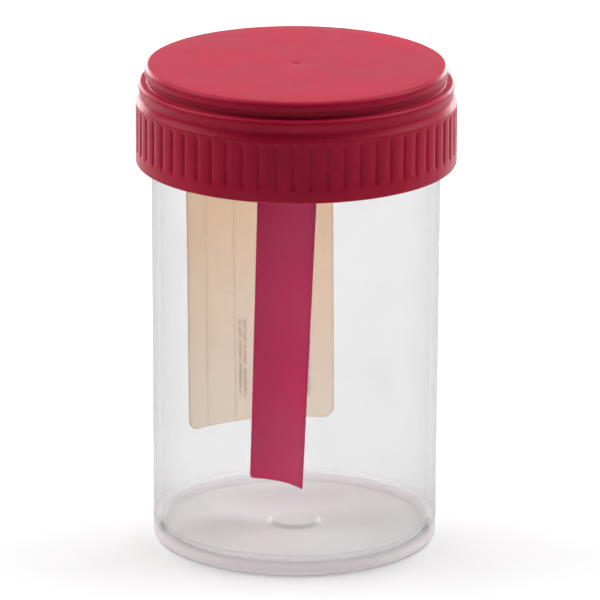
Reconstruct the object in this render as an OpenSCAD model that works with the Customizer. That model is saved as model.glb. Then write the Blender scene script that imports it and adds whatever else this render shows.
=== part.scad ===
// Screw-capped specimen container with a spoon that hangs from its cap.
// The container stands on z = 0 with its axis on Z, closed, in millimetres.

/* [Container] */
// Height of the closed container, from the foot to the top of the cap
overall_h = 65; // [60:0.5:80]
// Outside radius of the vessel at its foot
foot_r = 18.9; // [18.5:0.05:19]
// Outside radius of the vessel just under the cap
body_r = 19.15; // [19:0.05:19.2]
// Thickness of the vessel's wall
wall = 1.1; // [0.9:0.05:1.4]
// Height of the floor that the specimen lies on
floor_z = 1.4; // [1.2:0.1:2]
// Radius of the round inside corner between floor and wall
floor_fillet = 0.9; // [0.6:0.1:1.5]
// Height of the shallow hollow under the foot
foot_hollow = 0.45; // [0.3:0.05:0.6]
// Radius of the raised gate pad in the middle of the floor
gate_r = 3.3; // [2.5:0.1:4]

/* [Cap] */
// Height of the cap
cap_h = 13.3; // [13:0.1:14]
// Radius over the cap's grip ribs
cap_r = 21.25; // [21.2:0.05:21.6]
// Thickness of the cap's top over the sealing rim
cap_top_t = 2.2; // [2:0.1:2.5]
// Number of grip grooves round the cap
grip_count = 59; // [40:1:72]
// Depth of one grip groove
grip_depth = 0.25; // [0.2:0.05:0.4]
// Turn of the first grip groove from the front of the cap
grip_phase = 5.1; // [0:0.1:6]

/* [Screw thread] */
// Rise of the thread in one turn
thread_lead = 4; // [3.5:0.1:4.5]
// Length of each thread, in turns
thread_turns = 1.25; // [1:0.05:1.35]
// How far a thread stands out of its wall
thread_depth = 0.8; // [0.7:0.05:0.85]
// Width of a thread where it leaves its wall
thread_root_w = 1.4; // [1.2:0.1:1.6]
// Width of a thread at its crest
thread_crest_w = 0.6; // [0.4:0.1:0.8]
// Play between the flanks of the closed threads
thread_play = 0.12; // [0.1:0.01:0.2]

/* [Seal] */
// Thickness of the sealing ring between the rim and the cap
seal_t = 0.8; // [0.6:0.1:1]

/* [Spoon] */
// Height of the spoon's tip above the foot
spoon_tip_z = 6.5; // [4:0.5:20]
// Radius of the spoon's hollow side
spoon_hollow_r = 8; // [7.8:0.1:9]
// Radius of the spoon's round back, which meets the hollow side in thin edges
spoon_back_r = 6.1; // [6:0.1:6.5]
// Thickness of the spoon along its middle
spoon_t = 1; // [0.9:0.05:1.2]
// Width of the spoon in its socket
spoon_top_w = 9.35; // [8.4:0.05:9.4]
// Width of the spoon at its tip
spoon_tip_w = 8.05; // [6:0.05:8.4]
// Turn of the spoon's hollow side from the front
spoon_yaw = -30; // [-45:1:45]
// Lean of the spoon from upright
spoon_lean = 2.1; // [0:0.1:2.5]

/* [Label] */
// Width of the label, measured straight across
label_w = 20.6; // [16:0.1:26]
// Turn of the label's middle from the back of the vessel
label_turn = 17; // [-30:1:30]
// Height of the label's lower edge
label_z = 10; // [8:0.1:15]
// Height of the label
label_h = 39; // [30:0.5:40]
// How far the label is stuck on askew
label_skew = 0.7; // [0:0.1:2]
// Thickness of the label's paper
label_t = 0.12; // [0.1:0.01:0.2]

/* [Hidden] */
$fn = 96;
cap_z = overall_h - cap_h;
lid_z = overall_h - cap_top_t;
rim_z = lid_z - seal_t;
rim_r = body_r - 0.1;
neck_z = cap_z + 0.7;
neck_step = 0.3;
bore_r = rim_r - wall + 0.1;
floor_r = foot_r - wall;
// The cap's threaded bore, the narrower bore round the rim above it, and the slope between them
skirt_bore_r = rim_r + 1;
rim_bore_r = rim_r + 0.35;
bore_step = 0.7;
thread_top_z = rim_z - 2.4;
rim_bore_z = thread_top_z + 0.9;
// The cap thread's centre lies this far under the neck thread's centre
flank_slope = (thread_root_w - thread_crest_w) / 2 / thread_depth;
thread_drop = thread_root_w - flank_slope * (skirt_bore_r - rim_r) + thread_play;
// Rise of the panel in the middle of the cap's underside, which the spoon's end sits against
panel_rise = 0.7;
spoon_top_z = lid_z + panel_rise;
spoon_len = (spoon_top_z - spoon_tip_z) / cos(spoon_lean);
spoon_top = [0.25, 1.5, spoon_top_z];
socket_h = 6;
socket_wall = 0.9;
socket_root = 0.6;

function arc(cx, cy, r, from, to, steps = 8) =
    [for (i = [0:steps]) let (a = from + (to - from) * i / steps) [cx + r * cos(a), cy + r * sin(a)]];

// Trapezoid swept up a right-hand helix, sinking into its wall at both ends.
// side is 1 for a thread outside its wall and -1 for one inside.
module thread(wall_r, side) {
    steps_per_turn = 40;
    fade = 22;
    bury = 0.35;
    sunk = 0.2;
    sweep = 360 * thread_turns;
    n = round(steps_per_turn * thread_turns);
    points = [for (i = [0:n]) let (
        a = sweep * i / n,
        d = min(thread_depth, (thread_depth + sunk) * min(a, sweep - a) / fade - sunk),
        z = thread_lead * a / 360,
        r = wall_r - side * bury,
        crest_r = wall_r + side * d,
        half_root = thread_root_w / 2 + flank_slope * bury,
        half_crest = thread_root_w / 2 - flank_slope * d
    ) for (p = [[r, -half_root], [crest_r, -half_crest], [crest_r, half_crest], [r, half_root]])
        [p[0] * cos(a), p[0] * sin(a), p[1] + z]];
    sides = [for (i = [0:n - 1], k = [0:3]) let (a = 4 * i + k, b = 4 * i + (k + 1) % 4)
        each [[a, b, b + 4], [a, b + 4, a + 4]]];
    faces = concat(sides, [[3, 2, 1, 0]], [[for (k = [0:3]) 4 * n + k]]);
    polyhedron(points, side > 0 ? faces : [for (f = faces) [for (i = [len(f) - 1:-1:0]) f[i]]]);
}

// The straight wall and floor of the vessel, turned from one outline
module vessel() {
    foot_corner = 0.8;
    foot_land = 1.5;
    rim_corner = 0.3;
    gate_rise = 0.5;
    slope = 0.5;
    land_r = foot_r - foot_corner - foot_land;
    color([0.88, 0.89, 0.9])
    union() {
        rotate_extrude() polygon(concat(
            [[0, foot_hollow + gate_rise], [gate_r - slope, foot_hollow + gate_rise], [gate_r, foot_hollow]],
            [[land_r, foot_hollow], [land_r + foot_hollow, 0]],
            arc(foot_r - foot_corner, foot_corner, foot_corner, -90, 0),
            [[body_r, neck_z], [rim_r, neck_z + neck_step]],
            arc(rim_r - rim_corner, rim_z - rim_corner, rim_corner, 0, 90, 4),
            arc(bore_r + rim_corner, rim_z - rim_corner, rim_corner, 90, 180, 4),
            arc(floor_r - floor_fillet, floor_z + floor_fillet, floor_fillet, 0, -90),
            [[gate_r + slope, floor_z], [gate_r, floor_z + gate_rise], [0, floor_z + gate_rise]]
        ));
        translate([0, 0, thread_top_z - thread_lead * thread_turns]) thread(rim_r, 1);
    }
}

// Paper label stuck round the back of the vessel, with round corners
module label() {
    corner = 1.8;
    half_w = label_w / 2;
    half_h = label_h / 2;
    color([0.87, 0.77, 0.68])
    rotate([0, 0, label_turn]) intersection() {
        rotate([0, 0, -90]) difference() {
            cylinder(r1 = foot_r + label_t, r2 = body_r + label_t, h = neck_z);
            cylinder(r1 = foot_r, r2 = body_r, h = neck_z);
        }
        translate([0, foot_r / 2, label_z + half_h]) rotate([90, 0, 180])
            linear_extrude(foot_r) rotate(-label_skew) {
                for (x = [-1, 1], z = [-1, 1])
                    translate([x * (half_w - corner), z * (half_h - corner)]) circle(corner, $fn = 32);
                square([2 * half_w, 2 * (half_h - corner)], center = true);
                square([2 * (half_w - corner), 2 * half_h], center = true);
            }
    }
}

// Stepped cap with grip grooves, an inside thread and a socket for the spoon
module cap() {
    disc_r = cap_r - 1.2;
    disc_edge = 0.7;
    under_disc_r = disc_r - 0.3;
    under_disc_z = overall_h - 1.35;
    shoulder_r = cap_r - 0.35;
    shoulder_z = overall_h - 2.3;
    shoulder_edge = 0.5;
    recess_r = cap_r - 0.6;
    recess_z = overall_h - 3.6;
    recess_h = 0.7;
    grip_z = overall_h - 5.1;
    lower_edge = 0.3;
    bore_edge = 0.4;
    panel_r = rim_bore_r - 3;
    groove_r = 0.4;
    groove_top = overall_h - 4.7;
    groove_len = 6.9;
    color([0.74, 0.12, 0.22])
    difference() {
        union() {
            difference() {
                rotate_extrude() polygon(concat(
                    [[0, lid_z + panel_rise], [panel_r - panel_rise, lid_z + panel_rise], [panel_r, lid_z]],
                    [[rim_bore_r, lid_z], [rim_bore_r, rim_bore_z], [skirt_bore_r, rim_bore_z - bore_step]],
                    [[skirt_bore_r, cap_z + bore_edge], [skirt_bore_r + lower_edge, cap_z]],
                    [[cap_r - lower_edge, cap_z], [cap_r, cap_z + lower_edge], [cap_r, grip_z]],
                    [[recess_r, recess_z - recess_h], [recess_r, recess_z]],
                    arc(shoulder_r - shoulder_edge, shoulder_z - shoulder_edge, shoulder_edge, 0, 90, 4),
                    [[under_disc_r, shoulder_z], [under_disc_r, under_disc_z], [disc_r, under_disc_z]],
                    arc(disc_r - disc_edge, overall_h - disc_edge, disc_edge, 0, 90, 6),
                    [[0, overall_h]]
                ));
                for (i = [0:grip_count - 1])
                    rotate([0, 0, grip_phase - 90 + 360 * i / grip_count])
                        translate([cap_r + groove_r - grip_depth, 0, groove_top - groove_len])
                            cylinder(r = groove_r, h = groove_len, $fn = 16);
            }
            translate([0, 0, thread_top_z - thread_lead * thread_turns - thread_drop])
                thread(skirt_bore_r, -1);
            socket_body();
        }
        spoon_place() translate([0, 0, -socket_h - 1]) linear_extrude(socket_h + 1)
            gutter(0);
    }
}

// Puts a shape that hangs down from its own origin where the spoon hangs
module spoon_place() {
    translate(spoon_top) rotate([0, spoon_lean, 0]) rotate([0, 0, spoon_yaw]) children();
}

// Cross-section of the spoon, grown by a margin: a crescent, hollow towards -Y, with its middle at
// the origin and its thin edges cut off at the spoon's width
module gutter(margin) {
    half_w = spoon_top_w / 2 + margin;
    intersection() {
        difference() {
            translate([0, spoon_t / 2 - spoon_back_r]) circle(spoon_back_r + margin);
            translate([0, -spoon_t / 2 - spoon_hollow_r]) circle(spoon_hollow_r - margin);
        }
        translate([-half_w, -spoon_back_r]) square([2 * half_w, spoon_back_r + spoon_t + margin]);
    }
}

// The collar under the cap's top that grips the spoon
module socket_body() {
    spoon_place() translate([0, 0, -socket_h]) linear_extrude(socket_h + socket_root)
        gutter(socket_wall);
}

// Soft ring between the vessel's rim and the cap's top
module seal_ring() {
    seal_play = 0.05;
    seal_inset = 0.9;
    color([0.93, 0.92, 0.9])
    translate([0, 0, rim_z]) difference() {
        cylinder(r = rim_bore_r - seal_play, h = seal_t);
        translate([0, 0, -1]) cylinder(r = bore_r - seal_inset, h = seal_t + 2);
    }
}

// Gutter-shaped spoon, narrowing slightly to a round-cornered tip
module spoon() {
    corner = 0.5;
    top_half = spoon_top_w / 2;
    tip_half = spoon_tip_w / 2;
    color([0.7, 0.1, 0.25])
    spoon_place() intersection() {
        translate([0, 0, -spoon_len - 1]) linear_extrude(spoon_len + 1) gutter(0);
        rotate([90, 0, 0]) linear_extrude(2 * spoon_top_w, center = true) {
            polygon([
                [-top_half, 0], [-tip_half, corner - spoon_len], [corner - tip_half, -spoon_len],
                [tip_half - corner, -spoon_len], [tip_half, corner - spoon_len], [top_half, 0]
            ]);
            for (x = [-1, 1])
                translate([x * (tip_half - corner), corner - spoon_len]) circle(corner, $fn = 32);
        }
    }
}

vessel();
label();
cap();
seal_ring();
spoon();
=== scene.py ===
"""Looks of a screw-capped specimen container with a spoon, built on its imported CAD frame.

Lengths are in metres. The container stands on z = 0 with its axis on Z, its front towards -Y.
Each sub-assembly is a class that builds its own pieces and dresses them in its own finishes.
"""

import logging
import math
from dataclasses import dataclass, field, replace
from enum import Enum
from typing import Any

import bmesh
import bpy
from mathutils import Euler, Matrix, Vector


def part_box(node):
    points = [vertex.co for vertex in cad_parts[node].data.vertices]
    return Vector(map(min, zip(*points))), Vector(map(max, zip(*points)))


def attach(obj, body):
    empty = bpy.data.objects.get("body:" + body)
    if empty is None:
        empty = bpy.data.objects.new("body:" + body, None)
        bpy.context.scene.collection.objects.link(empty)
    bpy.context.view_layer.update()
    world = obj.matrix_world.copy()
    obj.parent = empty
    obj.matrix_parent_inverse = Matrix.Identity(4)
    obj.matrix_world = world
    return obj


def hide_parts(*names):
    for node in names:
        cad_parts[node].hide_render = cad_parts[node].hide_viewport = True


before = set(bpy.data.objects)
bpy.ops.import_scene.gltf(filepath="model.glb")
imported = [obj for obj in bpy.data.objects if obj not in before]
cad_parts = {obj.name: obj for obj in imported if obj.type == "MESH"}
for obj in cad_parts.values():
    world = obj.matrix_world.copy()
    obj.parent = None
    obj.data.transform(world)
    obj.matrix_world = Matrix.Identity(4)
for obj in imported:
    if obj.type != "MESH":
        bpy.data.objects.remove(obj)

LOG = logging.getLogger("specimen_container")
MM = 0.001

# Middle part of a noise pattern's values, which holds nearly all of them
NOISE_SPAN = (0.3, 0.7)
POLYPROPYLENE_IOR = 1.49

Outline = list[tuple[float, float]]
Triple = tuple[float, float, float]
Socket = bpy.types.NodeSocket
Piece = bpy.types.Object
Mesh = bpy.types.Mesh
Material = bpy.types.Material


class Body(Enum):
    """The moving bodies of the frame."""

    CONTAINER = "container"
    SEAL = "seal"
    LID = "lid"


class Part(Enum):
    """The CAD nodes, which are also the names of the record's material slots."""

    VESSEL = "vessel"
    LABEL = "label"
    CAP = "cap"
    SEAL_RING = "seal_ring"
    SPOON = "spoon"


class ThreadSide(Enum):
    """Which way a thread stands out of the wall that carries it."""

    OUTWARD = 1
    INWARD = -1


# ---------------------------------------------------------------- node trees


class Tree:
    """A thin wrapper round a node tree that makes nodes in one call."""

    def __init__(self, tree: bpy.types.NodeTree) -> None:
        """Wraps a tree.

        Args:
            tree: the shader or geometry node tree to fill.
        """
        self.tree = tree

    def add(self, kind: str, inputs: dict[Any, Any] | None = None, **settings: Any) -> bpy.types.Node:
        """Adds a node, sets its properties and fills its inputs.

        Args:
            kind: the node's type name.
            inputs: input name or index to a value, or to an output socket to link.
            **settings: the node's own properties.

        Returns:
            The new node.
        """
        made = self.tree.nodes.new(kind)
        for name, value in settings.items():
            setattr(made, name, value)
        for key, value in (inputs or {}).items():
            self.feed(made.inputs[key], value)
        return made

    def feed(self, socket: Socket, value: Any) -> None:
        """Links an output to an input, or sets the input's value."""
        if isinstance(value, Socket):
            self.tree.links.new(value, socket)
        else:
            socket.default_value = value

    def maths(self, operation: str, *values: Any) -> Socket:
        """Adds a Math node, for shader and geometry trees alike.

        Args:
            operation: the Math node's operation.
            *values: its inputs, in order.

        Returns:
            The result's socket.
        """
        return self.add("ShaderNodeMath", dict(enumerate(values)), operation=operation).outputs[0]

    def mix(self, share: Any, first: bpy.types.Node, second: bpy.types.Node) -> bpy.types.Node:
        """Mixes two shaders.

        Args:
            share: how much of the second shader shows.
            first: the shader at share 0.
            second: the shader at share 1.

        Returns:
            The mixing node.
        """
        return self.add("ShaderNodeMixShader", {0: share, 1: first.outputs[0], 2: second.outputs[0]})

    def remap(self, value: Any, low: float, high: float, to_low: float, to_high: float) -> Socket:
        """Maps one range of a value to another, with a smooth start and end.

        Args:
            value: the socket to map.
            low: start of the range it comes from.
            high: end of the range it comes from.
            to_low: start of the range it goes to.
            to_high: end of the range it goes to.

        Returns:
            The mapped value's socket.
        """
        inputs = {"Value": value, "From Min": low, "From Max": high, "To Min": to_low, "To Max": to_high}
        return self.add("ShaderNodeMapRange", inputs, interpolation_type="SMOOTHSTEP").outputs[0]


class GeometryTree(Tree):
    """A Geometry Nodes tree with named inputs, run once on an object and made into plain mesh."""

    def __init__(self, name: str) -> None:
        """Makes an empty tree with a geometry input and output.

        Args:
            name: the tree's name.
        """
        super().__init__(bpy.data.node_groups.new(name, "GeometryNodeTree"))
        self.tree.interface.new_socket("Geometry", in_out="INPUT", socket_type="NodeSocketGeometry")
        self.tree.interface.new_socket("Geometry", in_out="OUTPUT", socket_type="NodeSocketGeometry")
        self.entry = self.tree.nodes.new("NodeGroupInput")
        self.exit = self.tree.nodes.new("NodeGroupOutput")
        self.identifiers: dict[str, str] = {}

    def input(self, name: str, kind: str) -> Socket:
        """Adds a named input to the tree.

        Args:
            name: the input's name.
            kind: Float, Int or Material.

        Returns:
            The input's socket inside the tree.
        """
        socket = self.tree.interface.new_socket(name, in_out="INPUT", socket_type=f"NodeSocket{kind}")
        self.identifiers[name] = socket.identifier
        return self.entry.outputs[name]

    def finish(self, geometry: Socket, material: Socket) -> None:
        """Ends the tree in Realize Instances, Merge by Distance and Set Material.

        Args:
            geometry: what the tree has made.
            material: the material's socket.
        """
        real = self.add("GeometryNodeRealizeInstances", {"Geometry": geometry})
        merged = self.add(
            "GeometryNodeMergeByDistance", {"Geometry": real.outputs[0], "Distance": 0.002 * MM}
        )
        dressed = self.add(
            "GeometryNodeSetMaterial", {"Geometry": merged.outputs[0], "Material": material}
        )
        self.tree.links.new(dressed.outputs[0], self.exit.inputs[0])

    def run(self, source: Piece, values: dict[str, Any]) -> Mesh:
        """Runs the tree on an object and returns the result as a mesh of its own.

        Args:
            source: the object whose mesh goes in; its modifier is removed again.
            values: input name to value.

        Returns:
            The evaluated mesh.
        """
        modifier = source.modifiers.new(self.tree.name, "NODES")
        modifier.node_group = self.tree
        for name, value in values.items():
            modifier[self.identifiers[name]] = value
        depsgraph = bpy.context.evaluated_depsgraph_get()
        mesh = bpy.data.meshes.new_from_object(source.evaluated_get(depsgraph), depsgraph=depsgraph)
        source.modifiers.remove(modifier)
        return mesh


def ring_repeat_tree() -> GeometryTree:
    """Makes the tree that repeats one wedge all the way round the Z axis.

    Returns:
        A tree with the inputs Count and Material.
    """
    tree = GeometryTree("RingRepeat")
    count = tree.input("Count", "Int")
    material = tree.input("Material", "Material")
    points = tree.add("GeometryNodePoints", {"Count": count})
    index = tree.add("GeometryNodeInputIndex")
    turn = tree.maths("MULTIPLY", index.outputs[0], tree.maths("DIVIDE", math.tau, count))
    rotation = tree.add("FunctionNodeAxisAngleToRotation", {"Axis": (0, 0, 1), "Angle": turn})
    wedges = tree.add(
        "GeometryNodeInstanceOnPoints",
        {
            "Points": points.outputs[0],
            "Instance": tree.entry.outputs[0],
            "Rotation": rotation.outputs[0],
        },
    )
    tree.finish(wedges.outputs[0], material)
    return tree


def thread_tree() -> GeometryTree:
    """Makes the tree that sweeps a thread's section up a helix and fades it out at both ends.

    Returns:
        A tree with inputs for the thread's sizes, the side it stands out on and its material.
    """
    tree = GeometryTree("ScrewThread")
    radius = tree.input("Wall Radius", "Float")
    lead = tree.input("Lead", "Float")
    turns = tree.input("Turns", "Float")
    height = tree.input("Height", "Float")
    base_width = tree.input("Base Width", "Float")
    crest_width = tree.input("Crest Width", "Float")
    side = tree.input("Side", "Float")
    material = tree.input("Material", "Material")
    helix = tree.add(
        "GeometryNodeCurveSpiral",
        {
            "Resolution": 96,
            "Rotations": turns,
            "Start Radius": radius,
            "End Radius": radius,
            "Height": tree.maths("MULTIPLY", lead, turns),
        },
    )
    upright = tree.add("GeometryNodeSetCurveNormal", {"Curve": helix.outputs[0]}, mode="Z_UP")
    section = tree.add(
        "GeometryNodeCurvePrimitiveQuadrilateral",
        {"Bottom Width": base_width, "Top Width": crest_width, "Offset": 0.0, "Height": height},
        mode="TRAPEZOID",
    )
    rounded = tree.add(
        "GeometryNodeFilletCurve",
        {"Curve": section.outputs[0], "Count": 3, "Radius": 0.12 * MM, "Limit Radius": True},
        mode="POLY",
    )
    turned = tree.add(
        "GeometryNodeTransform",
        {"Geometry": rounded.outputs[0], "Rotation": Euler((0, 0, -math.pi / 2))},
    )
    facing = tree.add("ShaderNodeCombineXYZ", {0: side, 1: 1.0, 2: 1.0})
    placed = tree.add(
        "GeometryNodeTransform", {"Geometry": turned.outputs[0], "Scale": facing.outputs[0]}
    )
    along = tree.add("GeometryNodeSplineParameter").outputs["Factor"]
    near_end = tree.maths("MINIMUM", along, tree.maths("SUBTRACT", 1.0, along))
    near_end = tree.maths("MULTIPLY", near_end, turns)
    scale = tree.remap(near_end, 0.0, 0.07, 0.05, 1.0)
    swept = tree.add(
        "GeometryNodeCurveToMesh",
        {
            "Curve": upright.outputs[0],
            "Profile Curve": placed.outputs[0],
            "Scale": scale,
            "Fill Caps": True,
        },
    )
    tree.finish(swept.outputs[0], material)
    return tree


# ---------------------------------------------------------------- finishes


class Finish:
    """Shared start of every finish: a material with an empty shader tree."""

    name: str

    def new(self) -> tuple[Material, Tree, Socket]:
        """Makes the material.

        Returns:
            The material, its tree and the socket of the piece's own coordinates.
        """
        material = bpy.data.materials.new(self.name)
        material.use_nodes = True
        material.node_tree.nodes.clear()
        tree = Tree(material.node_tree)
        return material, tree, tree.add("ShaderNodeTexCoord").outputs["Object"]

    @staticmethod
    def noise(tree: Tree, at: Socket, scale: float, detail: float = 3.0) -> Socket:
        """Adds a noise pattern.

        Args:
            tree: the tree to add to.
            at: the coordinates that it follows.
            scale: its features are about 1/scale metres across.
            detail: how many finer layers it has.

        Returns:
            The pattern's socket, from 0 to 1.
        """
        inputs = {"Vector": at, "Scale": scale, "Detail": detail}
        return tree.add("ShaderNodeTexNoise", inputs).outputs[0]

    @staticmethod
    def colours(tree: Tree, factor: Any, first: Any, second: Any) -> Socket:
        """Mixes two colours, each a triple or a socket.

        Args:
            tree: the tree to add to.
            factor: how much of the second colour shows.
            first: the colour at factor 0.
            second: the colour at factor 1.

        Returns:
            The mixed colour's socket.
        """
        inputs = {0: factor}
        for key, colour in ((6, first), (7, second)):
            inputs[key] = colour if isinstance(colour, Socket) else (*colour, 1.0)
        return tree.add("ShaderNodeMix", inputs, data_type="RGBA").outputs[2]


@dataclass(frozen=True)
class MouldedPlastic(Finish):
    """Coloured injection-moulded polypropylene: slightly mottled, satin, with a faint skin texture."""

    name: str
    colour: Triple
    pale_colour: Triple
    roughness: float = 0.36
    roughness_spread: float = 0.05
    mottle_scale: float = 110.0
    mottle_span: tuple[float, float] = (0.35, 0.68)
    speck_fineness: float = 9.0
    speck_share: float = 0.25
    skin_scale: float = 4200.0
    skin_depth: float = 0.005 * MM
    swirl_depth: float = 0.02 * MM
    specular: float = 0.09
    scatter: float = 0.06
    scatter_radius: Triple = (1.0, 0.2, 0.25)
    scatter_depth: float = 1.2 * MM
    glow: float = 0.0
    glow_colour: Triple = (0.5, 0.01, 0.05)

    def material(self) -> Material:
        """Builds the shader.

        Returns:
            The finished material.
        """
        material, tree, here = self.new()
        swirls = self.noise(tree, here, self.mottle_scale, 4.0)
        specks = self.noise(tree, here, self.mottle_scale * self.speck_fineness, 2.0)
        coarse = tree.maths("MULTIPLY", swirls, 1 - self.speck_share)
        mottle = tree.maths("MULTIPLY_ADD", specks, self.speck_share, coarse)
        paleness = tree.remap(mottle, *self.mottle_span, 0.0, 1.0)
        colour = self.colours(tree, paleness, self.colour, self.pale_colour)
        low, high = self.roughness - self.roughness_spread, self.roughness + self.roughness_spread
        roughness = tree.remap(swirls, *NOISE_SPAN, low, high)
        flow = tree.add(
            "ShaderNodeBump", {"Height": swirls, "Strength": 1.0, "Distance": self.swirl_depth}
        )
        skin = tree.add(
            "ShaderNodeBump",
            {
                "Height": self.noise(tree, here, self.skin_scale, 2.0),
                "Strength": 1.0,
                "Distance": self.skin_depth,
                "Normal": flow.outputs[0],
            },
        )
        shader = tree.add(
            "ShaderNodeBsdfPrincipled",
            {
                "Base Color": colour,
                "Roughness": roughness,
                "Normal": skin.outputs[0],
                "IOR": POLYPROPYLENE_IOR,
                "Specular IOR Level": self.specular,
                "Subsurface Weight": self.scatter,
                "Subsurface Radius": self.scatter_radius,
                "Subsurface Scale": self.scatter_depth,
            },
        )
        if self.glow:
            pale_glow = tuple(1.1 * c for c in self.glow_colour)
            lit = self.colours(tree, swirls, self.glow_colour, pale_glow)
            through = tree.add("ShaderNodeBsdfTranslucent", {"Color": lit})
            shader = tree.mix(self.glow, shader, through)
        tree.add("ShaderNodeOutputMaterial", {"Surface": shader.outputs[0]})
        return material


@dataclass(frozen=True)
class NaturalPolypropylene(Finish):
    """Uncoloured polypropylene: clear enough to see through, with a haze that thickens at the edges."""

    name: str
    base_colour: Triple = (0.98, 0.965, 0.97)
    # Milky white of the foot, tinted pink with painted red light bounced from the cap
    foot_colour_and_painted_red_bounce: Triple = (0.97, 0.91, 0.93)
    haze_colour: Triple = (0.57, 0.57, 0.58)
    outer_tint: Triple = (0.795, 0.797, 0.8)
    inner_tint: Triple = (0.985, 0.985, 0.985)
    base_tint: Triple = (0.99, 0.985, 0.985)
    outer_r: float = 18.45 * MM
    haze_face_on: float = 0.07
    haze_edge_on: float = 0.7
    haze_falloff: float = 3.6
    haze_base: float = 0.88
    base_r: float = 17.7 * MM
    base_soft: float = 0.8 * MM
    base_bottom: float = 1.0 * MM
    base_top: float = 2.6 * MM
    foot_low: float = 1.0 * MM
    foot_high: float = 3.4 * MM
    roughness_range: tuple[float, float] = (0.12, 0.21)
    base_roughness: float = 0.3
    specular: float = 0.2
    inner_light: float = 0.5
    base_inner_light: float = 0.03
    cloud_scale: float = 90.0
    cloud_share: float = 0.015
    cloud_lift: float = 1.06
    skin_scale: float = 2600.0
    skin_depth: float = 0.004 * MM

    def material(self) -> Material:
        """Builds the shader.

        Returns:
            The finished material.
        """
        material, tree, here = self.new()
        clouds = self.noise(tree, here, self.cloud_scale, 4.0)
        ripples = self.noise(tree, here, self.skin_scale, 2.0)
        skin = tree.add(
            "ShaderNodeBump", {"Height": ripples, "Strength": 1.0, "Distance": self.skin_depth}
        )
        edge = tree.add("ShaderNodeLayerWeight", {"Blend": 0.5}).outputs["Facing"]
        edge = tree.maths("POWER", edge, self.haze_falloff)
        cloud = tree.remap(clouds, *NOISE_SPAN, -self.cloud_share, self.cloud_share)
        thickening = self.haze_edge_on - self.haze_face_on
        haze = tree.maths("MULTIPLY_ADD", edge, thickening, self.haze_face_on)
        axes = tree.add("ShaderNodeSeparateXYZ", {0: here}).outputs
        flat = tree.add("ShaderNodeCombineXYZ", {0: axes[0], 1: axes[1]}).outputs[0]
        radius = tree.add("ShaderNodeVectorMath", {0: flat}, operation="LENGTH").outputs["Value"]
        # The wall's milkiness sits on its outer skin, so that the inner one draws no second outline
        outside = tree.maths("GREATER_THAN", radius, self.outer_r)
        disc_in, disc_out = self.base_r - self.base_soft, self.base_r + self.base_soft
        disc = tree.remap(radius, disc_in, disc_out, 1.0, 0.0)
        disc = tree.maths("MULTIPLY", disc, tree.maths("LESS_THAN", axes[2], self.base_top))
        disc = tree.maths("MULTIPLY", disc, tree.maths("GREATER_THAN", axes[2], self.base_bottom))
        low_down = tree.remap(axes[2], self.foot_low, self.foot_high, 1.0, 0.0)
        foot = tree.maths("MULTIPLY", outside, low_down)
        thick = tree.maths("MAXIMUM", disc, foot)
        base_haze = tree.maths("MULTIPLY_ADD", thick, self.haze_base, cloud)
        haze = tree.maths("MULTIPLY_ADD", haze, outside, base_haze)
        tint = self.colours(tree, outside, self.inner_tint, self.outer_tint)
        tint = self.colours(tree, thick, tint, self.base_tint)
        clear = tree.add("ShaderNodeBsdfTransparent", {"Color": tint})
        pale = tuple(min(1.0, c * self.cloud_lift) for c in self.haze_colour)
        milk = self.colours(tree, clouds, self.haze_colour, pale)
        milk = self.colours(tree, disc, milk, self.base_colour)
        # Near the foot the milk takes the foot's colour, whose pink is painted red bounce light from the
        # cap
        milk = self.colours(tree, foot, milk, self.foot_colour_and_painted_red_bounce)
        smooth, rough = self.roughness_range
        roughness = tree.remap(clouds, *NOISE_SPAN, smooth, rough)
        body = tree.add(
            "ShaderNodeBsdfPrincipled",
            {
                "Base Color": milk,
                "Roughness": tree.maths("MULTIPLY_ADD", thick, self.base_roughness, roughness),
                "Normal": skin.outputs[0],
                "IOR": POLYPROPYLENE_IOR,
                "Specular IOR Level": self.specular,
            },
        )
        through = tree.add("ShaderNodeBsdfTranslucent", {"Color": milk})
        change = self.base_inner_light - self.inner_light
        inner_light = tree.maths("MULTIPLY_ADD", disc, change, self.inner_light)
        shader = tree.mix(haze, clear, tree.mix(inner_light, body, through))
        tree.add("ShaderNodeOutputMaterial", {"Surface": shader.outputs[0]})
        return material


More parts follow.
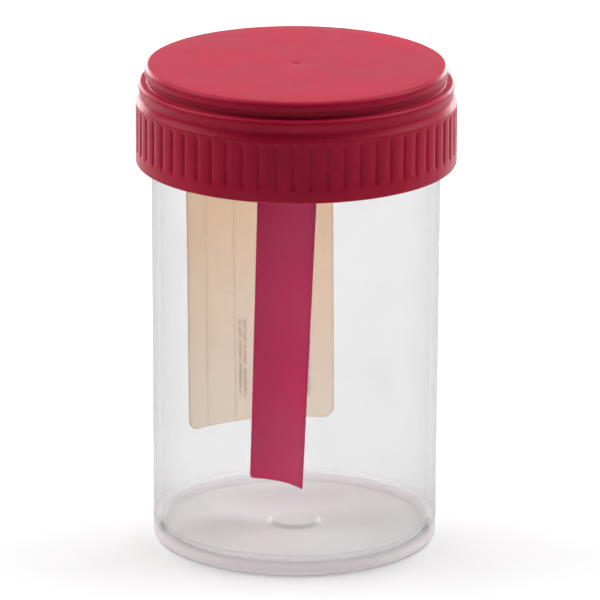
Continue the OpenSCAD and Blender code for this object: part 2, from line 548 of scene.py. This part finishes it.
@dataclass(frozen=True)
class PrintedPaper(Finish):
    """Cream label paper with fibres, writing rules and plain grey bars where a form has its captions."""

    name: str
    colour: Triple = (0.98, 0.83, 0.69)
    pale_colour: Triple = (0.98, 0.91, 0.83)
    ink: Triple = (0.36, 0.31, 0.29)
    ink_share: float = 0.3
    rule_places: tuple[float, ...] = (0.16, 0.365, 0.575, 0.79)
    rule_width: float = 0.006
    caption_places: tuple[float, ...] = (0.4, 0.432, 0.625, 0.84)
    caption_width: float = 0.02
    caption_span: tuple[float, float] = (0.08, 0.37)
    dash_across: float = 31.0
    dash_up: float = 46.0
    dash_gap: float = 0.44
    fibre_scale: float = 1900.0
    fibre_depth: float = 0.02 * MM
    stain_scale: float = 70.0
    glow: float = 0.7

    @staticmethod
    def band(tree: Tree, across: Socket, place: float, width: float) -> Socket:
        """Adds a mask that is 1 within width/2 of a place across the label, and 0 elsewhere."""
        return tree.maths("COMPARE", across, place, width / 2)

    def material(self) -> Material:
        """Builds the shader.

        Returns:
            The finished material.
        """
        material, tree, here = self.new()
        flat = tree.add("ShaderNodeUVMap", uv_map=Label.MAP)
        axes = tree.add("ShaderNodeSeparateXYZ", {0: flat.outputs[0]})
        across, up = axes.outputs[0], axes.outputs[1]
        fibres = self.noise(tree, here, self.fibre_scale, 5.0)
        stain = self.noise(tree, here, self.stain_scale, 3.0)
        # Paler towards the foot, unevenly
        fade = tree.maths("MULTIPLY_ADD", up, -0.7, tree.maths("MULTIPLY_ADD", stain, 0.5, 0.55))
        paper = self.colours(tree, tree.remap(fade, 0.1, 0.9, 0.0, 1.0), self.colour, self.pale_colour)
        dark = tuple(0.9 * c for c in self.colour)
        paper = self.colours(tree, tree.remap(fibres, 0.45, 0.75, 0.0, 0.3), paper, dark)
        printed: Socket | float = 0.0
        for place in self.rule_places:
            rule = self.band(tree, across, place, self.rule_width)
            printed = tree.maths("MAXIMUM", printed, rule)
        captions: Socket | float = 0.0
        for place in self.caption_places:
            caption = self.band(tree, across, place, self.caption_width)
            captions = tree.maths("MAXIMUM", captions, caption)
        # Short bars of uneven length, broken up along the label's height
        along = tree.maths("MULTIPLY", up, self.dash_up)
        along = tree.maths("MULTIPLY_ADD", across, self.dash_across, along)
        dashes = tree.add("ShaderNodeTexNoise", {"W": along, "Scale": 1.0}, noise_dimensions="1D")
        dashes = tree.maths("GREATER_THAN", dashes.outputs[0], self.dash_gap)
        low, high = self.caption_span
        under, over = tree.maths("LESS_THAN", up, high), tree.maths("GREATER_THAN", up, low)
        foot = tree.maths("MULTIPLY", under, over)
        captions = tree.maths("MULTIPLY", tree.maths("MULTIPLY", captions, dashes), foot)
        inked = tree.maths("MULTIPLY", tree.maths("MAXIMUM", printed, captions), self.ink_share)
        face = self.colours(tree, inked, paper, self.ink)
        bump = tree.add(
            "ShaderNodeBump", {"Height": fibres, "Strength": 0.7, "Distance": self.fibre_depth}
        )
        shader = tree.add(
            "ShaderNodeBsdfPrincipled",
            {
                "Base Color": face,
                "Roughness": tree.remap(fibres, *NOISE_SPAN, 0.62, 0.82),
                "Normal": bump.outputs[0],
                "Specular IOR Level": 0.25,
            },
        )
        through = tree.add("ShaderNodeBsdfTranslucent", {"Color": face})
        shader = tree.mix(self.glow, shader, through)
        tree.add("ShaderNodeOutputMaterial", {"Surface": shader.outputs[0]})
        return material


@dataclass(frozen=True)
class SoftFoam(Finish):
    """Off-white closed-cell foam of a sealing ring."""

    name: str
    colour: Triple = (0.8, 0.78, 0.74)
    cell_scale: float = 4200.0

    def material(self) -> Material:
        """Builds the shader.

        Returns:
            The finished material.
        """
        material, tree, here = self.new()
        foam = tree.add("ShaderNodeTexVoronoi", {"Vector": here, "Scale": self.cell_scale})
        cells = foam.outputs["Distance"]
        dark = tuple(0.86 * c for c in self.colour)
        colour = self.colours(tree, tree.remap(cells, 0.1, 0.7, 0.0, 1.0), self.colour, dark)
        bump = tree.add("ShaderNodeBump", {"Height": cells, "Strength": 0.8, "Distance": 0.03 * MM})
        shader = tree.add(
            "ShaderNodeBsdfPrincipled",
            {
                "Base Color": colour,
                "Roughness": tree.remap(cells, 0.1, 0.7, 0.8, 0.92),
                "Normal": bump.outputs[0],
            },
        )
        tree.add("ShaderNodeOutputMaterial", {"Surface": shader.outputs[0]})
        return material


@dataclass(frozen=True)
class StudioFloor(Finish):
    """Plain pale matt floor."""

    name: str = "StudioFloor"
    colour: Triple = (0.79, 0.79, 0.79)

    def material(self) -> Material:
        """Builds the shader.

        Returns:
            The finished material.
        """
        material, tree, here = self.new()
        cloud = self.noise(tree, here, 3.0, 2.0)
        dark = tuple(0.99 * c for c in self.colour)
        shader = tree.add(
            "ShaderNodeBsdfPrincipled",
            {"Base Color": self.colours(tree, cloud, self.colour, dark), "Roughness": 0.9},
        )
        tree.add("ShaderNodeOutputMaterial", {"Surface": shader.outputs[0]})
        return material


# ---------------------------------------------------------------- mesh helpers


def arc(cx: float, cz: float, r: float, start: float, end: float, steps: int = 8) -> Outline:
    """Gives the points of a round stretch of an outline.

    Args:
        cx: radius of the arc's centre.
        cz: height of the arc's centre.
        r: the arc's own radius.
        start: first angle, in degrees from outwards towards up.
        end: last angle, in degrees.
        steps: number of straight pieces.

    Returns:
        The points, both ends among them.
    """
    angles = [math.radians(start + (end - start) * i / steps) for i in range(steps + 1)]
    return [(cx + r * math.cos(a), cz + r * math.sin(a)) for a in angles]


def finely(outline: Outline, longest: float) -> Outline:
    """Splits the long straight stretches of an outline.

    Args:
        outline: the points.
        longest: the longest stretch that is kept whole.

    Returns:
        The outline with points added.
    """
    out = [outline[0]]
    for (r0, z0), (r1, z1) in zip(outline, outline[1:]):
        pieces = max(1, math.ceil(math.hypot(r1 - r0, z1 - z0) / longest))
        steps = range(1, pieces + 1)
        out += [(r0 + (r1 - r0) * i / pieces, z0 + (z1 - z0) * i / pieces) for i in steps]
    return out


def new_piece(name: str, mesh: Mesh, material: Material, sharp: float = 35.0) -> Piece:
    """Puts a mesh in the scene as a smooth-shaded piece.

    Args:
        name: the piece's name.
        mesh: its mesh, in place.
        material: its finish.
        sharp: edges bent by more degrees than this stay crisp.

    Returns:
        The piece.
    """
    mesh.name = name
    if not mesh.materials:
        mesh.materials.append(material)
    mesh.shade_smooth()
    mesh.set_sharp_from_angle(angle=math.radians(sharp))
    piece = bpy.data.objects.new(name, mesh)
    bpy.context.scene.collection.objects.link(piece)
    return piece


def outward(mesh: Mesh, merge: float = 0.0005 * MM) -> Mesh:
    """Merges a closed mesh's doubles and turns its faces outwards.

    Args:
        mesh: the closed mesh, in place.
        merge: points closer than this become one.

    Returns:
        The same mesh.
    """
    work = bmesh.new()
    work.from_mesh(mesh)
    bmesh.ops.remove_doubles(work, verts=work.verts, dist=merge)
    bmesh.ops.recalc_face_normals(work, faces=work.faces)
    # The recalculation alone can turn a thin hollow blade inside out
    if work.calc_volume(signed=True) < 0:
        bmesh.ops.reverse_faces(work, faces=work.faces)
    work.to_mesh(mesh)
    work.free()
    return mesh


def quads(rows: int, width: int, first: int = 0) -> list[tuple[int, int, int, int]]:
    """Gives the faces of a sheet whose points run row by row.

    Args:
        rows: number of rows of points.
        width: number of points in a row.
        first: the number of the sheet's first point.

    Returns:
        The faces, each as four point numbers.
    """
    starts = [first + row * width + i for row in range(rows - 1) for i in range(width - 1)]
    return [(a, a + 1, a + 1 + width, a + width) for a in starts]


def lathe(outline: Outline, segments: int = 192) -> Mesh:
    """Turns an outline that starts and ends on the axis, or closes on itself, into a closed mesh.

    Args:
        outline: radius and height of each point.
        segments: number of steps round the axis.

    Returns:
        The turned mesh.
    """
    angles = [math.tau * k / segments for k in range(segments)]
    vertices = [(r * math.cos(a), r * math.sin(a), z) for r, z in outline for a in angles]
    faces = []
    for ring in range(len(outline) - 1):
        here, after = ring * segments, (ring + 1) * segments
        for k in range(segments):
            beside = (k + 1) % segments
            faces.append((here + k, here + beside, after + beside, after + k))
    mesh = bpy.data.meshes.new("lathe")
    mesh.from_pydata(vertices, [], faces)
    return outward(mesh)


def place(piece: Piece, body: Body, part: Part) -> Piece:
    """Lets a piece ride on its body and stand for its CAD node.

    Args:
        piece: the finished piece.
        body: the body it moves with.
        part: the CAD node it stands for, which is hidden.

    Returns:
        The piece.
    """
    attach(piece, body.value)
    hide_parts(part.value)
    LOG.info("%s: %d faces, rides on %s", piece.name, len(piece.data.polygons), body.value)
    return piece


# ---------------------------------------------------------------- sub-assemblies


@dataclass
class ScrewThread:
    """One-start right-hand thread, used on the neck and inside the cap."""

    name: str
    wall_r: float
    top_z: float
    side: ThreadSide
    lead: float = 4.0 * MM
    turns: float = 1.25
    depth: float = 0.8 * MM
    root_w: float = 1.4 * MM
    crest_w: float = 0.6 * MM
    bury: float = 0.35 * MM

    def build(self, tree: GeometryTree, material: Material) -> Piece:
        """Sweeps the thread.

        Args:
            tree: the tree made by thread_tree().
            material: the finish of the wall that carries it.

        Returns:
            The thread as a piece.
        """
        slope = (self.root_w - self.crest_w) / 2 / self.depth
        seed = bpy.data.objects.new(self.name + "_seed", bpy.data.meshes.new("seed"))
        bpy.context.scene.collection.objects.link(seed)
        middle = (self.depth - self.bury) / 2
        values = {
            "Wall Radius": self.wall_r + self.side.value * middle,
            "Lead": self.lead,
            "Turns": self.turns,
            "Height": self.depth + self.bury,
            "Base Width": self.root_w + 2 * slope * self.bury,
            "Crest Width": self.crest_w,
            "Side": float(self.side.value),
            "Material": material,
        }
        mesh = tree.run(seed, values)
        bpy.data.objects.remove(seed)
        mesh.transform(Matrix.Translation((0, 0, self.top_z - self.lead * self.turns)))
        return new_piece(self.name, outward(mesh), material, 50.0)


@dataclass
class Vessel:
    """The moulded cup: slightly tapered wall, foot ring, floor with its gate pad, and neck thread."""

    foot_r: float = 18.9 * MM
    body_r: float = 19.15 * MM
    neck_r: float = 19.05 * MM
    neck_z: float = 52.4 * MM
    wall: float = 1.1 * MM
    floor_z: float = 1.4 * MM
    foot_hollow: float = 0.45 * MM
    foot_corner: float = 0.8 * MM
    foot_land: float = 1.1 * MM
    floor_fillet: float = 0.9 * MM
    rim_corner: float = 0.3 * MM
    gate_r: float = 3.3 * MM
    gate_rise: float = 0.5 * MM
    thread_drop: float = 2.4 * MM
    rim_z: float = field(default_factory=lambda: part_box(Part.VESSEL.value)[1].z)
    finish: NaturalPolypropylene = NaturalPolypropylene("NaturalPolypropylene")

    def radius_at(self, z: float) -> float:
        """Gives the outside radius of the wall at a height under the neck."""
        return self.foot_r + (self.body_r - self.foot_r) * z / self.neck_z

    def outline(self) -> Outline:
        """Draws the section from the middle of the foot, up the outside, and down the inside.

        Returns:
            The outline, from axis to axis.
        """
        bore_r = self.neck_r - self.wall + 0.1 * MM
        floor_r = self.foot_r - self.wall
        land_r = self.foot_r - self.foot_corner
        hollow_r = land_r - self.foot_land - 0.4 * MM
        soft, ease = 0.25 * MM, 0.6 * MM
        under_gate = self.foot_hollow + self.gate_rise
        c, fillet = self.rim_corner, self.floor_fillet
        return [
            (0, under_gate),
            (0.3 * MM, under_gate),
            (0.35 * MM, under_gate - 0.15 * MM),
            (0.7 * MM, under_gate - 0.15 * MM),
            (0.8 * MM, under_gate),
            (self.gate_r - 0.5 * MM, under_gate),
            *arc(self.gate_r - soft, self.foot_hollow + soft, soft, 0, -90, 5)[1:],
            *arc(hollow_r - soft, self.foot_hollow - soft, soft, 90, 20, 4),
            *arc(land_r - self.foot_land + soft, soft, soft, 200, 270, 4),
            *arc(land_r, self.foot_corner, self.foot_corner, -90, 0, 10),
            *[(self.radius_at(z * MM), z * MM) for z in range(4, 52, 6)],
            (self.body_r, self.neck_z),
            (self.neck_r, self.neck_z + 0.3 * MM),
            *arc(self.neck_r - c, self.rim_z - c, c, 0, 90, 5),
            *arc(bore_r + c, self.rim_z - c, c, 90, 180, 5),
            *[(floor_r + (bore_r - floor_r) * z / 62, z * MM) for z in range(54, 5, -6)],
            *arc(floor_r - fillet, self.floor_z + fillet, fillet, 0, -90, 10),
            *arc(self.gate_r + 0.5 * MM, self.floor_z + ease, ease, 270, 225, 5),
            *arc(self.gate_r - 0.5 * MM, self.floor_z + self.gate_rise - ease, ease, 45, 90, 5),
            (0, self.floor_z + self.gate_rise),
        ]

    def build(self, threads: GeometryTree) -> None:
        """Makes the cup and its thread.

        Args:
            threads: the tree made by thread_tree().
        """
        material = self.finish.material()
        cup = lathe(finely(self.outline(), 6 * MM))
        place(new_piece("vessel_cup", cup, material, 40.0), Body.CONTAINER, Part.VESSEL)
        top_z = self.rim_z - self.thread_drop
        thread = ScrewThread("vessel_thread", self.neck_r, top_z, ThreadSide.OUTWARD)
        place(thread.build(threads, material), Body.CONTAINER, Part.VESSEL)


@dataclass
class Label:
    """Paper label stuck round the back of the wall, with round corners."""

    MAP = "LabelMap"
    vessel: Vessel
    thickness: float = 0.12 * MM
    height: float = 38.9 * MM
    corner: float = 1.8 * MM
    turn: float = math.radians(17)
    skew: float = math.radians(0.7)
    half_chord: float = 10.3 * MM
    columns: int = 64
    rows: int = 72
    finish: PrintedPaper = PrintedPaper("LabelPaper")

    def build(self) -> None:
        """Makes the label on the wall."""
        low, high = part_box(Part.LABEL.value)
        middle = (low.z + high.z) / 2
        half = self.vessel.body_r * math.asin(self.half_chord / self.vessel.body_r)
        heights = self.heights(-self.height / 2, self.height / 2)
        vertices, uvs = [], []
        for up in heights:
            edge = self.height / 2 - abs(up)
            inset = 0.0
            if edge < self.corner:
                inset = self.corner - math.sqrt(max(0.0, self.corner**2 - (self.corner - edge) ** 2))
            for i in range(self.columns + 1):
                along = (half - inset) * (2 * i / self.columns - 1)
                askew = along * math.cos(self.skew) + up * math.sin(self.skew)
                z = middle + up * math.cos(self.skew) - along * math.sin(self.skew)
                angle = math.pi / 2 + self.turn + askew / self.vessel.body_r
                r = self.vessel.radius_at(z) + 0.005 * MM
                vertices.append((r * math.cos(angle), r * math.sin(angle), z))
                uvs.append((0.5 - along / half / 2, 0.5 + up / self.height))
        mesh = bpy.data.meshes.new("label")
        mesh.from_pydata(vertices, [], quads(len(heights), self.columns + 1))
        layer = mesh.uv_layers.new(name=self.MAP)
        for loop in mesh.loops:
            layer.data[loop.index].uv = uvs[loop.vertex_index]
        self.face_out(mesh)
        piece = new_piece("label_paper", mesh, self.finish.material(), 60.0)
        solid = piece.modifiers.new("Thickness", "SOLIDIFY")
        solid.thickness = self.thickness
        solid.offset = 1.0
        place(piece, Body.CONTAINER, Part.LABEL)

    def heights(self, low: float, high: float) -> list[float]:
        """Gives the heights of the label's rows, close together at its round corners."""
        steps = 8
        bend = [self.corner * (1 - math.cos(math.pi / 2 * i / steps)) for i in range(steps)]
        middle = self.rows - 2 * steps
        straight = high - low - 2 * self.corner
        return (
            [low + b for b in bend]
            + [low + self.corner + straight * i / middle for i in range(middle + 1)]
            + [high - b for b in reversed(bend)]
        )

    @staticmethod
    def face_out(mesh: Mesh) -> None:
        """Turns the label's faces away from the container's axis."""
        middle = mesh.polygons[len(mesh.polygons) // 2]
        if middle.normal.xy.dot(middle.center.xy) < 0:
            mesh.flip_normals()


@dataclass
class Cap:
    """Stepped screw cap: grip grooves, inside thread, and the collar that grips the spoon."""

    grooves: int = 59
    groove_depth: float = 0.17 * MM
    groove_floor: float = 0.02
    groove_edge: float = 0.14
    crown: float = 0.08 * MM
    first_groove: float = math.radians(5.1)
    groove_drop: float = 4.9 * MM
    groove_length: float = 6.6 * MM
    groove_end: float = 0.8 * MM
    low: Vector = field(default_factory=lambda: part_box(Part.CAP.value)[0])
    high: Vector = field(default_factory=lambda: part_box(Part.CAP.value)[1])
    skirt_bore_r: float = 20.05 * MM
    rim_bore_r: float = 19.4 * MM
    panel_r: float = 16.4 * MM
    panel_rise: float = 0.7 * MM
    top_thickness: float = 2.2 * MM
    thread_drop: float = 3.42 * MM
    collar_length: float = 6.0 * MM
    collar_half: float = 5.575 * MM
    collar_wall: float = 0.9 * MM
    plastic: MouldedPlastic = MouldedPlastic(
        "CapPlastic", (0.33, 0.005, 0.027), (0.375, 0.009, 0.036)
    )

    def outline(self) -> Outline:
        """Draws the section from the middle of the top, down the outside, and up the inside.

        Returns:
            The outline, from axis to axis.
        """
        top, bottom, r = self.high.z, self.low.z, self.high.x
        disc_r, under_r = r - 1.2 * MM, r - 1.5 * MM
        shoulder_r, recess_r = r - 0.35 * MM, r - 0.6 * MM
        lid_z = top - self.top_thickness
        disc_round, shoulder_round, shoulder_drop = 0.7 * MM, 0.5 * MM, 2.8 * MM
        lip, ledge, fine, soft = 0.15 * MM, 0.3 * MM, 0.12 * MM, 0.9 * MM
        return [
            (0, top - 0.1 * MM),
            (0.35 * MM, top - 0.1 * MM),
            (0.45 * MM, top - 0.02 * MM),
            (0.7 * MM, top),
            *arc(disc_r - disc_round, top - disc_round, disc_round, 90, 0, 9),
            *arc(disc_r - lip, top - 1.35 * MM + lip, lip, 0, -90, 4),
            *arc(under_r + fine, top - 1.35 * MM - fine, fine, 90, 180, 3),
            *arc(under_r + fine, top - 2.3 * MM + fine, fine, 180, 270, 3),
            *arc(shoulder_r - shoulder_round, top - shoulder_drop, shoulder_round, 90, 0, 8),
            *arc(shoulder_r - soft, top - shoulder_drop - 0.1 * MM, soft, 0, -30, 4),
            *arc(recess_r + soft, top - 3.95 * MM, soft, 160, 205, 6),
            *arc(r - ledge, top - 5.15 * MM, ledge, 45, 0, 5),
            *[(r, z) for z in self.grip_heights()],
            *arc(r - ledge, bottom + ledge, ledge, 0, -90, 6),
            *arc(self.skirt_bore_r + ledge, bottom + ledge, ledge, 270, 180, 5),
            (self.skirt_bore_r, lid_z - 3.0 * MM),
            (self.rim_bore_r, lid_z - 2.3 * MM),
            *arc(self.rim_bore_r - fine, lid_z - fine, fine, 0, 90, 3),
            *arc(self.panel_r, lid_z + fine, fine, 270, 225, 2),
            *arc(self.panel_r - self.panel_rise, lid_z + self.panel_rise - fine, fine, 45, 90, 2),
            (0, lid_z + self.panel_rise),
        ]

    def grip_heights(self) -> list[float]:
        """Gives the heights of the rows down the grip, close together where the grooves end."""
        low, high = self.groove_span()
        ends = [i / 5 * self.groove_end for i in range(6)]
        return [high - e for e in ends] + [(high + low) / 2] + [low + e for e in reversed(ends)]

    def groove_span(self) -> tuple[float, float]:
        """Gives the lowest and highest point of the grooves."""
        high = self.high.z - self.groove_drop - 0.2 * MM
        return high - self.groove_length, high

    def depth_at(self, share: float, z: float) -> float:
        """Gives how far the grip is cut back at a point.

        Args:
            share: the point's place across its wedge, from -0.5 to 0.5 with the groove at 0.
            z: its height.

        Returns:
            The cut's depth.
        """
        low, high = self.groove_span()
        end = max(0.0, min(1.0, min(z - low, high - z) / self.groove_end))
        end = end * end * (3 - 2 * end)
        side = (self.groove_edge - abs(share)) / (self.groove_edge - self.groove_floor)
        side = max(0.0, min(1.0, side))
        cut = self.groove_depth * side * side * (3 - 2 * side)
        flat = max(0.0, 1 - (abs(share) - self.groove_edge) / (0.5 - self.groove_edge))
        return end * (cut + self.crown * min(1.0, flat) ** 2)

    def wedge(self) -> Mesh:
        """Makes one groove's share of the cap, from rib crest to rib crest.

        Returns:
            An open mesh that closes once it is repeated all round.
        """
        right = [0.03, 0.07, 0.11, 0.16, 0.24, 0.36, 0.5]
        shares = [-share for share in reversed(right)] + right
        outline = finely(self.outline(), 3 * MM)
        grip_r = self.high.x
        pitch = math.tau / self.grooves
        vertices = []
        for r, z in outline:
            cut = r > grip_r - 0.01 * MM
            for share in shares:
                rr = r - self.depth_at(share, z) if cut else r
                angle = self.first_groove - math.pi / 2 + share * pitch
                vertices.append((rr * math.cos(angle), rr * math.sin(angle), z))
        mesh = bpy.data.meshes.new("cap_wedge")
        mesh.from_pydata(vertices, [], quads(len(outline), len(shares)))
        return mesh

    def build(self, rings: GeometryTree, threads: GeometryTree, vessel: Vessel) -> None:
        """Makes the cap's shell, thread and collar.

        Args:
            rings: the tree made by ring_repeat_tree().
            threads: the tree made by thread_tree().
            vessel: the cup, whose neck thread the cap's thread runs under.
        """
        material = self.plastic.material()
        seed = bpy.data.objects.new("cap_seed", self.wedge())
        bpy.context.scene.collection.objects.link(seed)
        shell = rings.run(seed, {"Count": self.grooves, "Material": material})
        bpy.data.objects.remove(seed)
        place(new_piece("cap_shell", outward(shell), material, 40.0), Body.LID, Part.CAP)
        top_z = vessel.rim_z - self.thread_drop
        thread = ScrewThread("cap_thread", self.skirt_bore_r, top_z, ThreadSide.INWARD)
        place(thread.build(threads, material), Body.LID, Part.CAP)
        blade = Gutter("cap_collar", left_corner=0.0, right_corner=0.0, edge=0.3 * MM)
        collar = replace(
            blade,
            length=self.collar_length,
            top_half=self.collar_half,
            tip_half=self.collar_half,
            thickness=blade.thickness + 2 * self.collar_wall,
            back_r=blade.back_r + self.collar_wall,
            hollow_r=blade.hollow_r - self.collar_wall,
        )
        place(collar.build(material), Body.LID, Part.CAP)


@dataclass(frozen=True)
class Gutter:
    """A crescent-section blade, hollow towards the front, that hangs from the cap at a slight lean."""

    name: str
    thickness: float = 1.0 * MM
    hollow_r: float = 8.0 * MM
    back_r: float = 6.1 * MM
    top_half: float = 4.675 * MM
    tip_half: float = 4.025 * MM
    length: float = 57.0 * MM
    left_corner: float = 0.6 * MM
    right_corner: float = 0.15 * MM
    edge: float = 0.22 * MM
    top: Vector = field(default_factory=lambda: Vector((0.25 * MM, 1.5 * MM, 63.5 * MM)))
    yaw: float = math.radians(-30)
    lean: float = math.radians(2.1)
    columns: int = 44

    def build(self, material: Material) -> Piece:
        """Makes the blade with round edges all the way.

        Args:
            material: its finish.

        Returns:
            The blade as a piece.
        """
        drops = self.drops()
        steps = [math.sin(math.pi * (i / self.columns - 0.5)) for i in range(self.columns + 1)]
        vertices = []
        for face in (-1, 1):
            vertices += [self.point(drop, step, face) for drop in drops for step in steps]
        rows, width = len(drops), len(steps)
        faces = quads(rows, width) + quads(rows, width, rows * width)
        mesh = bpy.data.meshes.new(self.name)
        mesh.from_pydata(vertices, [], faces)
        turn = Matrix.Rotation(self.lean, 4, "Y") @ Matrix.Rotation(self.yaw, 4, "Z")
        mesh.transform(Matrix.Translation(self.top) @ turn)
        return new_piece(self.name, outward(mesh), material, 75.0)

    def point(self, drop: float, step: float, face: int) -> Triple:
        """Gives a point of the blade's skin.

        Args:
            drop: its distance below the top.
            step: its place across, from -1 at the left edge to 1 at the right edge.
            face: -1 for the hollow side and 1 for the round back.

        Returns:
            The point, with the blade's top middle at the origin.
        """
        half = self.half_width(drop, self.left_corner if step < 0 else self.right_corner)
        across = half * step
        hollow = -self.thickness / 2 - self.hollow_r + math.sqrt(self.hollow_r**2 - across**2)
        back = self.thickness / 2 - self.back_r + math.sqrt(self.back_r**2 - across**2)
        rim = min(half - abs(across), drop, self.length - drop)
        rounding = math.sqrt(max(0.0, 1 - max(0.0, 1 - rim / self.edge) ** 2))
        return across, (hollow + back) / 2 + face * rounding * (back - hollow) / 2, -drop

    def drops(self) -> list[float]:
        """Gives the rows' distances below the top, close together at both ends."""
        rows = max(4, round(self.length / (2 * MM)))
        bend = max(self.left_corner, self.edge)
        ends = [bend * (1 - math.cos(math.pi / 2 * i / 9)) for i in range(9)]
        straight = self.length - 2 * bend
        middle = [bend + straight * i / rows for i in range(rows + 1)]
        return ends + middle + [self.length - e for e in reversed(ends)]

    def half_width(self, drop: float, corner: float) -> float:
        """Gives half the blade's width at a distance below its top, on the side of a tip corner."""
        half = self.top_half + (self.tip_half - self.top_half) * drop / self.length
        past = drop - (self.length - corner)
        if past > 0:
            half -= corner - math.sqrt(max(0.0, corner**2 - past**2))
        return half


@dataclass
class SealRing:
    """Soft ring that the cap presses on the vessel's rim."""

    inner_r: float = 17.15 * MM
    corner: float = 0.15 * MM
    finish: SoftFoam = SoftFoam("SealFoam")

    def build(self) -> None:
        """Makes the ring."""
        low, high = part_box(Part.SEAL_RING.value)
        c, r, r0 = self.corner, high.x, self.inner_r
        outline = [
            *arc(r - c, high.z - c, c, 90, 0, 4),
            *arc(r - c, low.z + c, c, 0, -90, 4),
            *arc(r0 + c, low.z + c, c, 270, 180, 4),
            *arc(r0 + c, high.z - c, c, 180, 90, 4),
        ]
        outline.append(outline[0])
        ring = new_piece("seal_ring_foam", lathe(outline, 128), self.finish.material(), 50.0)
        place(ring, Body.SEAL, Part.SEAL_RING)


@dataclass
class Spoon:
    """The gutter-shaped spoon that hangs from the cap."""

    plastic: MouldedPlastic = MouldedPlastic(
        "SpoonPlastic",
        (0.68, 0.014, 0.2),
        (0.73, 0.017, 0.22),
        glow=0.55,
        glow_colour=(0.84, 0.018, 0.3),
    )

    def build(self) -> None:
        """Makes the spoon."""
        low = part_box(Part.SPOON.value)[0]
        blade = Gutter("spoon_blade")
        hang = (blade.top.z - low.z) / math.cos(blade.lean) - 0.15 * MM
        place(replace(blade, length=hang).build(self.plastic.material()), Body.LID, Part.SPOON)


@dataclass(frozen=True)
class Softbox:
    """A soft light that faces the container; its size is a width and a height, its power in watts."""

    name: str
    at: Triple
    size: tuple[float, float]
    power: float
    facing: Triple = (0.0, 0.0, 0.03)

    def build(self) -> None:
        """Hangs the light."""
        data = bpy.data.lights.new(self.name, "AREA")
        data.shape = "RECTANGLE"
        data.size, data.size_y = self.size
        data.energy = self.power
        light = bpy.data.objects.new(self.name, data)
        light.location = self.at
        look = Vector(self.facing) - light.location
        light.rotation_euler = look.to_track_quat("-Z", "Y").to_euler()
        bpy.context.scene.collection.objects.link(light)


@dataclass
class Studio:
    """Camera, soft lights, plain floor and view settings."""

    elevation: float = math.radians(16.7)
    distance: float = 1.0
    lens: float = 451.0
    aim: Vector = field(default_factory=lambda: Vector((0.6 * MM, 0.0, 32.4 * MM)))
    roll: float = math.radians(0.27)
    surround: Triple = (0.96, 0.97, 1.0)
    surround_strength: float = 0.08
    floor_half: float = 3.0
    softboxes: tuple[Softbox, ...] = (
        Softbox("TopLight", at=(0.0, 0.13, 0.5), size=(0.8, 0.55), power=2.2),
        Softbox("LeftLight", at=(-0.6, 0.16, 0.6), size=(0.6, 0.6), power=5.2),
        Softbox("RightLight", at=(0.6, 0.16, 0.6), size=(0.6, 0.6), power=5.2),
        Softbox("BackLeftLight", at=(-0.38, 0.78, 0.15), size=(0.4, 0.26), power=4.0),
        Softbox("BackRightLight", at=(0.38, 0.78, 0.15), size=(0.4, 0.26), power=4.0),
        Softbox("BackLight", at=(0.0, 0.95, 0.35), size=(0.6, 0.6), power=0.7),
    )

    def camera(self) -> None:
        """Puts the camera in front of the container, a little above it."""
        data = bpy.data.cameras.new("Camera")
        data.lens = self.lens
        data.clip_start, data.clip_end = 0.05, 20.0
        camera = bpy.data.objects.new("Camera", data)
        back = Vector((0, -math.cos(self.elevation), math.sin(self.elevation)))
        camera.location = self.aim + back * self.distance
        look = (-back).to_track_quat("-Z", "Y").to_matrix().to_4x4()
        look = look @ Matrix.Rotation(self.roll, 4, "Z")
        camera.matrix_world = Matrix.Translation(camera.location) @ look
        bpy.context.scene.collection.objects.link(camera)
        bpy.context.scene.camera = camera

    def floor(self) -> None:
        """Lays the plain pale floor."""
        mesh = bpy.data.meshes.new("studio_floor")
        half = self.floor_half
        corners = [(-half, -half, 0), (half, -half, 0), (half, half, 0), (-half, half, 0)]
        mesh.from_pydata(corners, [], [(0, 1, 2, 3)])
        new_piece("studio_floor", mesh, StudioFloor().material())

    def world(self) -> None:
        """Sets an even pale surround."""
        world = bpy.data.worlds.new("Surround")
        world.use_nodes = True
        background = world.node_tree.nodes["Background"]
        background.inputs["Color"].default_value = (*self.surround, 1.0)
        background.inputs["Strength"].default_value = self.surround_strength
        bpy.context.scene.world = world

    def build(self) -> None:
        """Sets the whole studio up."""
        self.world()
        self.floor()
        for softbox in self.softboxes:
            softbox.build()
        self.camera()
        bpy.context.scene.view_settings.view_transform = "Standard"
        LOG.info("studio: camera %.1f degrees up at %.2f m", math.degrees(self.elevation), self.distance)


def main() -> None:
    """Builds the container's looks piece by piece."""
    logging.basicConfig(level=logging.INFO, format="%(name)s: %(message)s")
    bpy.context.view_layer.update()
    rings, threads = ring_repeat_tree(), thread_tree()
    vessel = Vessel()
    vessel.build(threads)
    Label(vessel).build()
    Cap().build(rings, threads, vessel)
    SealRing().build()
    Spoon().build()
    Studio().build()


if __name__ == "__main__":
    main()
